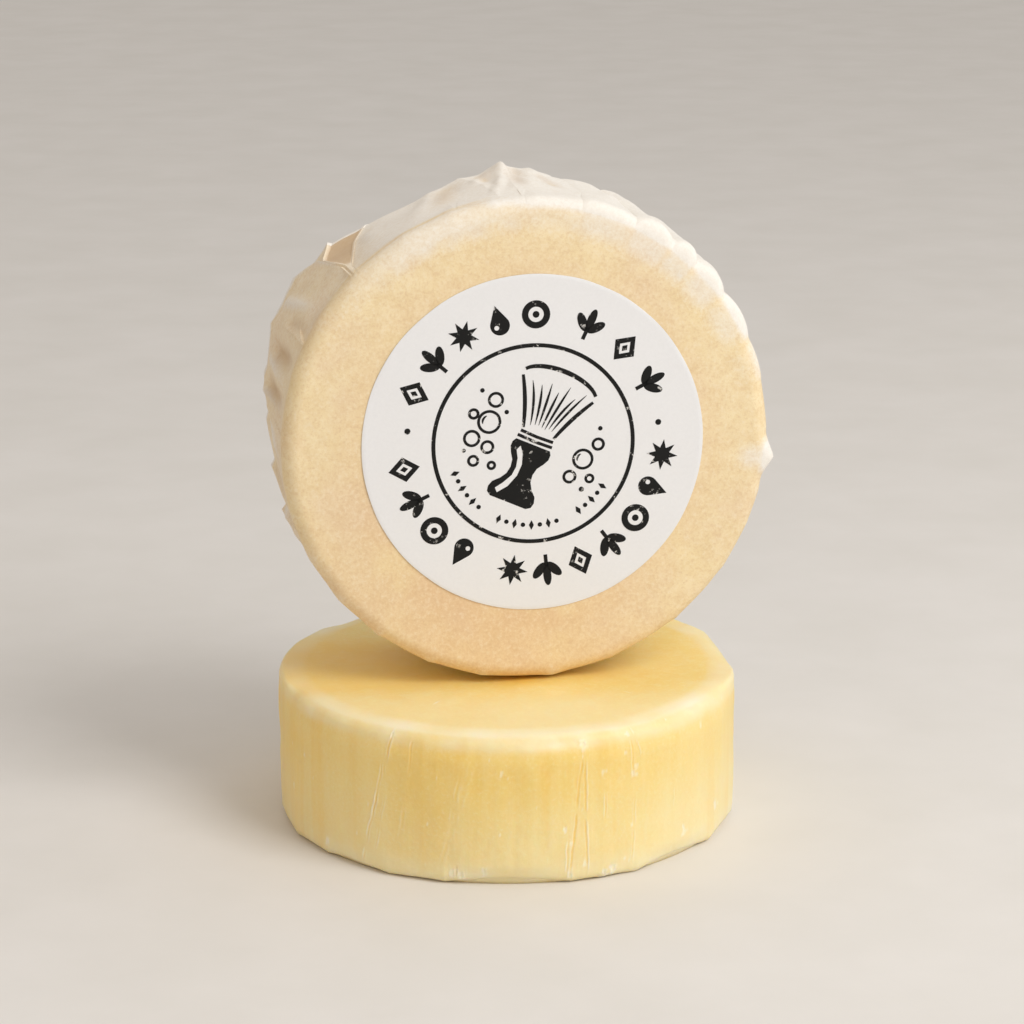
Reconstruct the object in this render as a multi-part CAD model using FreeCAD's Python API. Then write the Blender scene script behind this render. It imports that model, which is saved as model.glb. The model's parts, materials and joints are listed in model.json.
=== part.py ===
"""Shaving soap pucks: one bare puck lying flat, and a second one in its pleated paper wrapper standing on it.

Units are millimetres. The origin is the centre of the bare puck's underside, +Z is up and -Y is the front.
The wrapped puck is drawn about its own centre with its face towards -Y, then turned and stood in place.
"""

import FreeCAD, Part
import math
import os

V = FreeCAD.Vector

# Cast soap pucks. The bare one has dried and shrunk a little, the wrapped one has not.
PUCK_THICKNESS = 23.0
BARE_SOAP_RADIUS = 35.0
WRAPPED_SOAP_RADIUS = 36.2
TOP_EDGE_RADIUS = 2.2
BOTTOM_EDGE_RADIUS = 1.4

# Greaseproof paper wrapper, one sheet: a flat face, a pleated side wall and a ring of pleats over the back.
PAPER = 0.10
SOAP_GAP = 0.05
WALL_INSIDE_RADIUS = WRAPPED_SOAP_RADIUS + SOAP_GAP
FRONT_RADIUS = WALL_INSIDE_RADIUS + PAPER
PLEAT_LOW_RADIUS = 36.5
PLEAT_HIGH_RADIUS = 37.0
PLEAT_START_STEP = 0.02
PLEAT_COUNT = 16
PLEAT_PITCH = 360.0 / PLEAT_COUNT

# Pleat flaps on the back, each folding about a crease that is one side of a regular polygon.
FLAP_THICKNESS = 0.30
FLAP_GAP = 0.10
FLAP_INNER_RADIUS = 12.0
CREASE_SETBACK = 0.05
CREASE_DISTANCE = PLEAT_HIGH_RADIUS * math.cos(math.radians(PLEAT_PITCH / 2)) - CREASE_SETBACK

# Stickers: the label on the face and the seal that holds the pleats shut.
LABEL_RADIUS = 25.5
LABEL_THICKNESS = 0.10
LABEL_RIGHT = 0.72
LABEL_UP = 0.27
SEAL_RADIUS = 19.0
SEAL_THICKNESS = 0.10
SEAL_GAP = 0.05

# Depths behind the outside of the wrapper's face.
SOAP_FRONT = PAPER + SOAP_GAP
SOAP_BACK = SOAP_FRONT + PUCK_THICKNESS
CREASE_DEPTH = SOAP_BACK + FLAP_GAP
WALL_END = CREASE_DEPTH - CREASE_SETBACK
SEAL_DEPTH = CREASE_DEPTH + FLAP_THICKNESS + SEAL_GAP
HALF_DEPTH = SOAP_FRONT + PUCK_THICKNESS / 2

# How the wrapped puck stands on the bare one: its bottom pleat reaches RESTING_RADIUS below its centre.
RESTING_RADIUS = 36.78
STANDING_YAW = 9.0
STANDING_RIGHT = 1.4
STANDING_BACK = 1.2
STANDING_GAP = 0.02
STANDING_CENTRE = V(STANDING_RIGHT, STANDING_BACK, PUCK_THICKNESS + STANDING_GAP + RESTING_RADIUS)


def soap_puck(radius):
    """One cast puck on its underside, with a soft rounded top edge and a tighter bottom edge."""
    puck = Part.makeCylinder(radius, PUCK_THICKNESS)
    top = [e for e in puck.Edges if e.BoundBox.ZMin > PUCK_THICKNESS / 2]
    puck = puck.makeFillet(TOP_EDGE_RADIUS, top)
    bottom = [e for e in puck.Edges if e.BoundBox.ZMax < BOTTOM_EDGE_RADIUS / 2]
    return puck.makeFillet(BOTTOM_EDGE_RADIUS, bottom)


def depth_point(radius, angle, depth):
    """A point of the wrapped puck: radius and angle seen from the front, depth behind the wrapper's face."""
    turn = math.radians(angle)
    return V(radius * math.cos(turn), depth - HALF_DEPTH, radius * math.sin(turn))


def stand(shape):
    """Moves a shape from the wrapped puck's own centre to where it stands on the bare puck."""
    shape.rotate(V(0, 0, 0), V(0, 0, 1), STANDING_YAW)
    shape.translate(STANDING_CENTRE)
    return shape


def face_down(shape, depth):
    """Turns a shape built upwards along +Z so that +Z points to the back, starting at a depth."""
    shape.rotate(V(0, 0, 0), V(1, 0, 0), -90)
    shape.translate(V(0, depth - HALF_DEPTH, 0))
    return shape


def wrapped_soap():
    """The puck inside the wrapper, with its cast top edge at the wrapper's face."""
    puck = soap_puck(WRAPPED_SOAP_RADIUS)
    puck.rotate(V(0, 0, PUCK_THICKNESS / 2), V(1, 0, 0), 180)
    return stand(face_down(puck, SOAP_FRONT))


def pleated_outline(low, high, depth):
    """A closed outline of knife pleats: each one climbs from low to high, then steps back down."""
    edges = []
    for i in range(PLEAT_COUNT):
        start = PLEAT_PITCH * (i - 0.5)
        a = depth_point(low, start, depth)
        middle = depth_point((low + high) / 2, start + PLEAT_PITCH / 2, depth)
        b = depth_point(high, start + PLEAT_PITCH, depth)
        edges.append(Part.Arc(a, middle, b).toShape())
        edges.append(Part.makeLine(b, depth_point(low, start + PLEAT_PITCH, depth)))
    return Part.Wire(edges)


def round_end_cylinder(radius, length, edge_radius):
    """A cylinder from Z = 0 upwards whose edge at Z = 0 is rounded."""
    cylinder = Part.makeCylinder(radius, length)
    edge = [e for e in cylinder.Edges if e.BoundBox.ZMax < length / 2]
    return cylinder.makeFillet(edge_radius, edge)


def wrapper_sheet():
    """The sheet's face and side wall: a thin cup over the soap, its pleats growing towards the back."""
    edge = TOP_EDGE_RADIUS + SOAP_FRONT
    shoulder = face_down(round_end_cylinder(FRONT_RADIUS, 1.5 * edge, edge), 0)
    shallow = pleated_outline(FRONT_RADIUS, FRONT_RADIUS + PLEAT_START_STEP, edge)
    deep = pleated_outline(PLEAT_LOW_RADIUS, PLEAT_HIGH_RADIUS, WALL_END)
    wall = Part.makeLoft([shallow, deep], True, True)
    hollow = face_down(round_end_cylinder(WALL_INSIDE_RADIUS, WALL_END, TOP_EDGE_RADIUS), PAPER)
    return stand(shoulder.fuse(wall).cut(hollow).removeSplitter())


def pleat_angle(index):
    """Where a pleat sits round the rim, seen from the front: the first is at the top."""
    return 90.0 + PLEAT_PITCH * index


def pleat_flap(index):
    """One pleat folded over the back: a flat panel from its crease in towards the middle."""
    half = math.tan(math.radians(PLEAT_PITCH / 2))
    outer = CREASE_DISTANCE - CREASE_SETBACK
    outer_half = outer * half - CREASE_SETBACK
    inner_half = FLAP_INNER_RADIUS * half - CREASE_SETBACK
    corners = [(outer, -outer_half), (outer, outer_half), (FLAP_INNER_RADIUS, inner_half)]
    corners.append((FLAP_INNER_RADIUS, -inner_half))
    points = [V(radial, CREASE_DEPTH - HALF_DEPTH, across) for radial, across in corners]
    panel = Part.Face(Part.makePolygon(points + points[:1])).extrude(V(0, FLAP_THICKNESS, 0))
    panel.rotate(V(0, 0, 0), V(0, -1, 0), pleat_angle(index))
    return stand(panel)


def sticker(radius, thickness, front_depth, right=0.0, up=0.0):
    """A round paper sticker, its front surface at a depth."""
    disc = face_down(Part.makeCylinder(radius, thickness), front_depth)
    disc.translate(V(right, 0, up))
    return stand(disc)


def build():
    """Every node of the assembly by name."""
    nodes = {
        "bare_soap": soap_puck(BARE_SOAP_RADIUS),
        "wrapped_soap": wrapped_soap(),
        "wrapper_sheet": wrapper_sheet(),
        "front_label": sticker(LABEL_RADIUS, LABEL_THICKNESS, -LABEL_THICKNESS, LABEL_RIGHT, LABEL_UP),
        "back_seal": sticker(SEAL_RADIUS, SEAL_THICKNESS, SEAL_DEPTH),
    }
    for index in range(PLEAT_COUNT):
        nodes[f"wrapper_pleat_{index + 1:02d}"] = pleat_flap(index)
    return nodes


os.makedirs("parts", exist_ok=True)
for name, shape in build().items():
    shape.Solids[0].exportStep(f"parts/{name}.step")
    print(name, len(shape.Solids), round(shape.Volume, 2), shape.isValid())
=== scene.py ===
"""Two shaving soap pucks: a bare one lying flat, and one in a pleated paper wrapper standing on it.

Lengths in this script are millimetres until a mesh is made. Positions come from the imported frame.
The wrapped puck is worked out in its own terms: azimuth and radius as seen from the front, and depth
behind the wrapper's face. Azimuth 0 is to the right and 90 is up.
"""

import json
import math

import bpy
import numpy as np
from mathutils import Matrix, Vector


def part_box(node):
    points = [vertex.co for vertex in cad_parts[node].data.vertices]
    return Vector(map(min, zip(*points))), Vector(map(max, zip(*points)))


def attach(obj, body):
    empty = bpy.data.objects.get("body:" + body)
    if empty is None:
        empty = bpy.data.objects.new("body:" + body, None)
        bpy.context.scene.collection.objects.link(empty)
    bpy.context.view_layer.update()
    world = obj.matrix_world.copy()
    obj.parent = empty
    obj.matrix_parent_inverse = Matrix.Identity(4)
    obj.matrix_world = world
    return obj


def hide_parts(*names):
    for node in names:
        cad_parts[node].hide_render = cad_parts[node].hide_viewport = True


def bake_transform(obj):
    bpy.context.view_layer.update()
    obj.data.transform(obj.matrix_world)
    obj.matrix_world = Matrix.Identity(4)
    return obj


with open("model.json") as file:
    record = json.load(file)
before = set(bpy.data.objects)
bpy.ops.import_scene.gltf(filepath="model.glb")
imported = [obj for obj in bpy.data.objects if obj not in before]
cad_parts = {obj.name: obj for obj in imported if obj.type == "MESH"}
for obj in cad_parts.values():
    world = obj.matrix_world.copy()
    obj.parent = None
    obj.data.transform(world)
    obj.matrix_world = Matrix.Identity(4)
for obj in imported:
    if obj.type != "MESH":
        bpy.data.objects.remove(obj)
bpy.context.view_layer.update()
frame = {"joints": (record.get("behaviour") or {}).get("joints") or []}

MM = 0.001
UP = np.array([0.0, 0.0, 1.0])

# ---------------------------------------------------------------- places taken from the frame


def box_mm(node):
    """The lowest and highest corner of a CAD node, in millimetres."""
    low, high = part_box(node)
    return np.array(low) / MM, np.array(high) / MM


joints = {joint["name"]: joint for joint in frame["joints"]}
PLEAT_NAMES = sorted(name for name in joints if name.startswith("pleat_"))
PLEAT_COUNT = len(PLEAT_NAMES)
PLEAT_PITCH = 360.0 / PLEAT_COUNT
hinge_points = np.array([joints[name]["pos_m"] for name in PLEAT_NAMES]) / MM

bare_low, bare_high = box_mm("bare_soap")
BARE_RADIUS = (bare_high[0] - bare_low[0]) / 2
PUCK_THICKNESS = bare_high[2] - bare_low[2]
label_low, label_high = box_mm("front_label")
LABEL_RADIUS = (label_high[2] - label_low[2]) / 2
seal_low, seal_high = box_mm("back_seal")
SEAL_RADIUS = (seal_high[2] - seal_low[2]) / 2
soap_low, soap_high = box_mm("wrapped_soap")
WRAPPED_SOAP_RADIUS = (soap_high[2] - soap_low[2]) / 2

# The wrapped puck's own axes, from its pleat hinges: they lie on one circle, and the first is at the top.
RIGHT = np.array(joints[PLEAT_NAMES[0]]["axis"])
BACK = np.cross(UP, RIGHT)
CREASE_CENTRE = hinge_points.mean(axis=0)
CREASE_RADIUS = np.linalg.norm(hinge_points[0] - CREASE_CENTRE)

# Depths behind the outside of the wrapper's face.
SOAP_FRONT = 0.15
SOAP_BACK = SOAP_FRONT + PUCK_THICKNESS
CREASE_DEPTH = SOAP_BACK + 0.10
SEAL_DEPTH = CREASE_DEPTH + 0.80


def place(right, depth, up):
    """Points given to the right of the wrapped puck's middle, behind its face and up, in the frame."""
    right, depth, up = np.broadcast_arrays(right, depth, up)
    offset = right[..., None] * RIGHT + up[..., None] * UP
    return CREASE_CENTRE + offset + (depth[..., None] - CREASE_DEPTH) * BACK


def place_round(radius, azimuth, depth):
    """Points of the wrapped puck from radius, azimuth in degrees and depth."""
    turn = np.radians(azimuth)
    return place(radius * np.cos(turn), depth, radius * np.sin(turn))


# ---------------------------------------------------------------- small tools


def smooth(x):
    """0 below 0, 1 above 1 and a soft step between."""
    x = np.clip(x, 0.0, 1.0)
    return x * x * (3 - 2 * x)


def hump(x, centre, width):
    """A soft hump of height 1."""
    return np.exp(-(((x - centre) / width) ** 2))


def soft_floor(value, floor, softness):
    """Keeps values above a floor, bending smoothly where they come near it."""
    over = value - floor
    return floor + 0.5 * (over + np.sqrt(over * over + softness))


def turn_between(a, b):
    """The signed angle from b to a in degrees, between -180 and 180."""
    return (a - b + 180.0) % 360.0 - 180.0


def ripple(points, wavelength, seed, waves=28):
    """Smooth random relief between about -1 and 1: a sum of plane waves in random directions."""
    rng = np.random.default_rng(seed)
    total = np.zeros(points.shape[:-1])
    for _ in range(waves):
        direction = rng.normal(size=points.shape[-1])
        direction /= np.linalg.norm(direction)
        length = wavelength * rng.uniform(0.6, 1.6)
        total += np.sin(points @ direction * (2 * math.pi / length) + rng.uniform(0, 2 * math.pi))
    return total / math.sqrt(waves)


def grid_faces(rows, columns, closed, start=0):
    """Quads of a grid of points, row by row, joined round the columns when closed."""
    last = columns if closed else columns - 1
    row, column = np.meshgrid(np.arange(rows - 1), np.arange(last), indexing="ij")
    beside = (column + 1) % columns
    a = row * columns + column
    b = row * columns + beside
    return (np.stack([a, b, b + columns, a + columns], axis=-1).reshape(-1, 4) + start).tolist()


def make_piece(name, points, faces, material, attributes=None, sharp=None):
    """A mesh object from points in millimetres, with smooth shading and float attributes on its points."""
    mesh = bpy.data.meshes.new(name)
    mesh.from_pydata((np.asarray(points) * MM).tolist(), [], faces)
    mesh.polygons.foreach_set("use_smooth", [True] * len(mesh.polygons))
    for key, values in (attributes or {}).items():
        layer = mesh.attributes.new(key, "FLOAT", "POINT")
        layer.data.foreach_set("value", np.asarray(values, dtype=np.float32).ravel())
    if sharp:
        mesh.set_sharp_from_angle(angle=math.radians(sharp))
    mesh.materials.append(material)
    piece = bpy.data.objects.new(name, mesh)
    bpy.context.scene.collection.objects.link(piece)
    return piece


def apply_modifiers(piece):
    """Bakes a piece's modifiers into its mesh."""
    graph = bpy.context.evaluated_depsgraph_get()
    mesh = bpy.data.meshes.new_from_object(piece.evaluated_get(graph), depsgraph=graph)
    piece.modifiers.clear()
    piece.data = mesh


def thicken(piece, thickness):
    """Turns a sheet into a thin closed solid, growing away from its normals."""
    solidify = piece.modifiers.new("thickness", "SOLIDIFY")
    solidify.thickness = thickness * MM
    solidify.offset = -1.0
    apply_modifiers(piece)


# ---------------------------------------------------------------- materials


class Nodes:
    """Short calls for building one material's nodes."""

    def __init__(self, name):
        self.material = bpy.data.materials.new(name)
        self.material.use_nodes = True
        self.tree = self.material.node_tree
        self.shader = self.tree.nodes["Principled BSDF"]

    def add(self, kind, inputs=None, **settings):
        node = self.tree.nodes.new(kind)
        for key, value in settings.items():
            setattr(node, key, value)
        for key, value in (inputs or {}).items():
            self.set(node.inputs[key], value)
        return node

    def set(self, socket, value):
        if isinstance(value, bpy.types.NodeSocket):
            self.tree.links.new(value, socket)
        else:
            socket.default_value = value

    def noise(self, scale, detail=3.0, roughness=0.55, vector=None):
        inputs = {"Scale": scale, "Detail": detail, "Roughness": roughness}
        inputs["Vector"] = vector or self.position()
        return self.add("ShaderNodeTexNoise", inputs).outputs["Fac"]

    def position(self):
        return self.add("ShaderNodeTexCoord").outputs["Object"]

    def attribute(self, name):
        return self.add("ShaderNodeAttribute", attribute_name=name).outputs["Fac"]

    def ramp(self, value, stops):
        """Colour or grey stops: (position, colour) pairs, colours as linear RGB."""
        node = self.add("ShaderNodeValToRGB", {"Fac": value})
        ramp = node.color_ramp
        while len(ramp.elements) < len(stops):
            ramp.elements.new(1.0)
        for element, (position, colour) in zip(ramp.elements, stops):
            element.position = position
            element.color = (*colour, 1.0)
        return node.outputs["Color"]

    def span(self, value, low, high, out_low=0.0, out_high=1.0):
        inputs = {"Value": value, "From Min": low, "From Max": high, "To Min": out_low, "To Max": out_high}
        return self.add("ShaderNodeMapRange", inputs, clamp=True).outputs["Result"]

    def math(self, operation, a, b):
        node = self.add("ShaderNodeMath", operation=operation)
        self.set(node.inputs[0], a)
        self.set(node.inputs[1], b)
        return node.outputs[0]

    def mix(self, factor, a, b):
        """Colour a where the factor is 0 and colour b where it is 1."""
        node = self.add("ShaderNodeMix", data_type="RGBA")
        self.set(node.inputs["Factor"], factor)
        self.set(node.inputs[6], a)
        self.set(node.inputs[7], b)
        return node.outputs[2]

    def tint(self, colour, towards, share, amount):
        """A colour moved towards a display colour, by a share between 0 and 1 times an amount."""
        return self.mix(self.math("MULTIPLY", share, amount), colour, rgba(*towards))

    def bump(self, height, strength, distance):
        inputs = {"Height": height, "Strength": strength, "Distance": distance}
        return self.add("ShaderNodeBump", inputs).outputs["Normal"]

    def stretched(self, x, y, z):
        inputs = {"Vector": self.position(), "Scale": (x, y, z)}
        return self.add("ShaderNodeMapping", inputs).outputs["Vector"]

    def finish(self, **inputs):
        for key, value in inputs.items():
            self.set(self.shader.inputs[key.replace("_", " ")], value)
        return self.material


def srgb(red, green, blue):
    """Linear RGB of a display colour given as 0 to 255."""
    def linear(value):
        value /= 255.0
        return value / 12.92 if value <= 0.04045 else ((value + 0.055) / 1.055) ** 2.4
    return (linear(red), linear(green), linear(blue))


def rgba(red, green, blue):
    return (*srgb(red, green, blue), 1.0)


def soap_material():
    """Waxy cast soap: warm yellow with cloudy patches and upright streaks, pale where it is worn and in a
    painted highlight on the top edge.
    """
    n = Nodes("waxy_soap")
    cloud = n.noise(55.0, 3.0)
    streak = n.noise(420.0, 4.0, 0.6, n.stretched(1.0, 1.0, 0.04))
    fine = n.noise(1900.0, 4.0, 0.65)
    yellow = n.ramp(cloud, [(0.32, srgb(246, 214, 126)), (0.68, srgb(251, 225, 152))])
    colour = n.tint(yellow, (253, 236, 178), n.span(streak, 0.45, 0.75), 0.35)
    colour = n.tint(colour, (254, 241, 196), n.span(fine, 0.52, 0.72), 0.30)
    colour = n.tint(colour, (238, 196, 104), n.span(fine, 0.46, 0.30), 0.20)
    # Paler by the pale attribute: worn marks and specks, low on the wall, and a painted highlight on the top
    # edge.
    colour = n.mix(n.span(n.attribute("pale"), 0.0, 1.0), colour, rgba(255, 243, 212))
    # Deeper orange by the deep attribute: streaks and scratches, and the painted glow and shade round where
    # the wrapped puck stands.
    colour = n.mix(n.span(n.attribute("deep"), 0.0, 1.0), colour, rgba(248, 200, 84))
    roughness = n.span(fine, 0.3, 0.7, 0.40, 0.56)
    height = n.math("ADD", n.math("MULTIPLY", fine, 0.5), n.math("MULTIPLY", streak, 0.8))
    return n.finish(
        Base_Color=colour,
        Roughness=roughness,
        Normal=n.bump(height, 0.30, 0.0002),
        Subsurface_Weight=0.35,
        Subsurface_Radius=(0.004, 0.0027, 0.0011),
        Subsurface_Scale=1.0,
        Specular_IOR_Level=0.35,
    )


def paper_material():
    """Greaseproof paper: tan and mottled where it lies on the soap, near white where it stands off, with
    painted shade and reflection.
    """
    n = Nodes("greaseproof_paper")
    fibre = n.noise(1800.0, 5.0, 0.75)
    blotch = n.noise(420.0, 4.0, 0.6)
    broad = n.noise(90.0, 3.0)
    touching = n.ramp(blotch, [(0.36, srgb(239, 215, 169)), (0.64, srgb(247, 227, 184))])
    # Tan beside the label, and a painted reflection of the soap below and painted shade towards the bottom.
    touching = n.tint(touching, (233, 199, 156), n.attribute("tan_and_painted_bounce_share"), 0.85)
    touching = n.tint(touching, (249, 229, 176), n.span(broad, 0.52, 0.68), 0.45)
    touching = n.tint(touching, (233, 204, 172), n.span(broad, 0.46, 0.32), 0.35)
    touching = n.tint(touching, (251, 235, 210), n.span(fibre, 0.50, 0.64), 0.42)
    touching = n.tint(touching, (222, 188, 148), n.span(fibre, 0.48, 0.36), 0.38)
    free = n.ramp(fibre, [(0.3, srgb(240, 233, 222)), (0.7, srgb(250, 246, 238))])
    rough_edge = n.span(fibre, 0.3, 0.7, -0.05, 0.05)
    share = n.span(n.math("ADD", n.attribute("gap"), rough_edge), 0.03, 0.45)
    colour = n.mix(share, touching, free)
    # Painted shade in the valleys and the pressed-in recess, partly the tan of paper pressed on the soap.
    colour = n.tint(colour, (202, 172, 138), n.attribute("valley_shade"), 0.76)
    roughness = n.span(fibre, 0.3, 0.7, 0.55, 0.72)
    height = n.math("ADD", n.math("MULTIPLY", fibre, 0.7), blotch)
    return n.finish(
        Base_Color=colour,
        Roughness=roughness,
        Normal=n.bump(height, 0.22, 0.00015),
        Specular_IOR_Level=0.3,
        Sheen_Weight=0.05,
    )


def label_material():
    """Smooth white sticker paper with a trace of tooth."""
    n = Nodes("label_paper")
    tooth = n.noise(2200.0, 4.0, 0.6)
    colour = n.ramp(tooth, [(0.3, srgb(236, 236, 237)), (0.7, srgb(239, 239, 240))])
    return n.finish(
        Base_Color=colour,
        Roughness=n.span(tooth, 0.3, 0.7, 0.5, 0.62),
        Normal=n.bump(tooth, 0.08, 0.0001),
        Specular_IOR_Level=0.3,
    )


def ink_material():
    """Black print, worn through to the paper in small flecks."""
    n = Nodes("worn_black_print")
    fleck = n.noise(1100.0, 4.0, 0.65)
    patch = n.noise(240.0, 2.0)
    worn = n.math("MULTIPLY", n.span(fleck, 0.60, 0.64), n.span(patch, 0.45, 0.55))
    colour = n.mix(worn, rgba(8, 8, 8), rgba(205, 203, 199))
    return n.finish(Base_Color=colour, Roughness=n.span(fleck, 0.3, 0.7, 0.45, 0.6), Specular_IOR_Level=0.3)


def floor_material():
    """Pale matt tabletop with a faint grain."""
    n = Nodes("pale_tabletop")
    grain = n.noise(40.0, 4.0)
    colour = n.ramp(grain, [(0.3, srgb(226, 223, 218)), (0.7, srgb(231, 228, 224))])
    return n.finish(Base_Color=colour, Roughness=0.8)


soap = soap_material()
paper = paper_material()
label_paper = label_material()
ink = ink_material()

# ---------------------------------------------------------------- soap

BARE_COLUMNS_FRONT = 800
BARE_COLUMNS_BACK = 130
TOP_EDGE = 2.2
BOTTOM_EDGE = 1.4

# Azimuths of the corners where the bare puck's bottom edge was trimmed with a knife.
TRIM_CORNERS = (8, 40, 71, 104, 133, 160, 186, 205, 219, 240, 255, 286, 303, 331, 351)
TRIM_HEIGHT = 3.4

# Azimuths between which the bare puck's side was cut flat.
WALL_CUTS = ((-6, 28), (138, 165), (165, 180))

# Where the bare puck's top edge is crisp: azimuth and half width in degrees, and how crisp, 0 to 1.
CRISP_EDGES = ((14, 32, 0.9), (172, 26, 0.75))


def soap_profile(radius, wall_rows, top_rows):
    """Radius, height and outward normal of each row, from the underside's middle to the top's middle."""
    rows = []
    for r in np.linspace(0.0, 1.0, 12)[1:]:
        rows.append(((radius - BOTTOM_EDGE) * r, 0.0, 0.0, -1.0))
    for angle in np.radians(np.linspace(-90, 0, 8)[1:]):
        out = math.cos(angle)
        up = math.sin(angle)
        rows.append((radius - BOTTOM_EDGE * (1 - out), BOTTOM_EDGE * (1 + up), out, up))
    wall_top = PUCK_THICKNESS - TOP_EDGE
    for z in np.linspace(BOTTOM_EDGE, wall_top, wall_rows)[1:]:
        rows.append((radius, z, 1.0, 0.0))
    for angle in np.radians(np.linspace(0, 90, 10)[1:]):
        out = math.cos(angle)
        up = math.sin(angle)
        rows.append((radius - TOP_EDGE * (1 - out), wall_top + TOP_EDGE * up, out, up))
    for r in np.linspace(1.0, 0.0, top_rows + 1)[1:-1]:
        rows.append(((radius - TOP_EDGE) * r, PUCK_THICKNESS, 0.0, 1.0))
    return np.array(rows).T


def facet_share(azimuth, first, second):
    """How far inside the circle a straight cut between two azimuths runs, as a share of the radius."""
    half = (second - first) / 2
    off = turn_between(azimuth, (first + second) / 2)
    chord = math.cos(math.radians(half)) / np.cos(np.radians(np.clip(off, -half, half)))
    return np.where(np.abs(off) <= half, 1 - chord, 0.0)


def crispness(azimuth):
    """How crisp the bare puck's top edge is, 0 to 1."""
    return sum(share * smooth((half + 5 - np.abs(turn_between(azimuth, centre))) / 10)
               for centre, half, share in CRISP_EDGES)


def polygon_share(azimuth, corners):
    """How far inside the circle a polygon with these corners runs, as a share of the radius."""
    corners = np.sort(np.asarray(corners, dtype=float))
    following = np.append(corners[1:], corners[0] + 360)
    return sum(facet_share(azimuth, first, second) for first, second in zip(corners, following))


# Scratches on the bare puck's wall: azimuth and height at the top, the same at the bottom, half width, depth,
# and the height of the pale burr on the left and on the right.
SCRATCHES = (
    (241.2, 21.6, 239.4, 16.0, 0.22, 0.16, 0.04, 0.09),
    (239.0, 17.2, 236.0, 8.4, 0.20, 0.12, 0.09, 0.04),
    (238.0, 14.0, 233.0, 1.4, 0.22, 0.16, 0.12, 0.05),
    (239.4, 12.0, 236.6, 3.0, 0.18, 0.06, 0.03, 0.06),
    (246.8, 21.4, 246.2, 16.6, 0.22, 0.12, 0.05, 0.03),
    (244.8, 11.0, 243.6, 6.2, 0.30, 0.05, 0.03, 0.02),
    (262.0, 19.0, 254.0, 2.4, 0.36, 0.04, 0.02, 0.02),
    (259.4, 17.8, 256.6, 9.4, 0.26, 0.06, 0.04, 0.02),
    (266.6, 18.6, 265.4, 3.2, 0.80, 0.05, 0.00, 0.01),
    (272.8, 16.2, 272.0, 2.6, 0.90, 0.06, 0.01, 0.00),
    (279.8, 18.8, 278.8, 3.6, 0.90, 0.06, 0.00, 0.01),
    (284.9, 7.2, 284.4, 0.8, 0.22, 0.10, 0.10, 0.02),
    (286.9, 17.6, 286.2, 4.8, 0.50, 0.12, 0.01, 0.01),
    (288.5, 20.8, 285.2, 0.8, 0.24, 0.26, 0.04, 0.02),
    (288.9, 19.0, 289.5, 0.6, 0.22, 0.24, 0.02, 0.10),
    (293.4, 12.5, 298.2, 12.9, 0.16, 0.07, 0.03, 0.04),
    (294.3, 15.4, 294.2, 9.6, 0.20, 0.10, 0.08, 0.04),
    (296.8, 17.0, 296.4, 6.0, 0.60, 0.05, 0.00, 0.01),
    (301.5, 20.8, 301.7, 15.2, 0.20, 0.16, 0.07, 0.02),
    (301.7, 22.8, 303.9, 18.0, 0.20, 0.10, 0.02, 0.10),
    (302.6, 13.2, 301.4, 1.8, 0.20, 0.12, 0.03, 0.06),
    (305.4, 12.4, 304.6, 4.0, 0.50, 0.05, 0.00, 0.01),
    (315.4, 11.6, 315.0, 8.6, 0.22, 0.05, 0.04, 0.02),
)

# Nicks in the bare puck's wall: azimuth, height, half width and depth.
NICKS = (
    (241.2, 21.9, 0.42, 0.2), (301.8, 15.6, 0.46, 0.24), (302.6, 16.6, 0.36, 0.14), (288.6, 21.2, 0.6, 0.22),
    (300.8, 22, 0.34, 0.14), (293.6, 16.6, 0.3, 0.12), (299.6, 19, 0.26, 0.12), (284, 8.4, 0.36, 0.16),
    (285.4, 6.2, 0.26, 0.12), (289, 3, 0.34, 0.16), (257, 1.9, 0.5, 0.15), (259, 1.5, 0.6, 0.2),
    (264.6, 2.2, 0.4, 0.12), (285.2, 1.4, 0.5, 0.2), (296.4, 1.4, 0.7, 0.22), (294, 1, 0.5, 0.2),
    (318.6, 4.2, 0.5, 0.14), (333, 5.6, 0.5, 0.14), (220.4, 2.4, 0.45, 0.14), (268.8, 17.6, 0.26, 0.1),
    (325, 19.6, 0.3, 0.1), (204, 8, 0.3, 0.1), (210, 14, 0.25, 0.08),
)

# Scale of the half widths of all these marks.
MARK_WIDTH = 0.66


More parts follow.
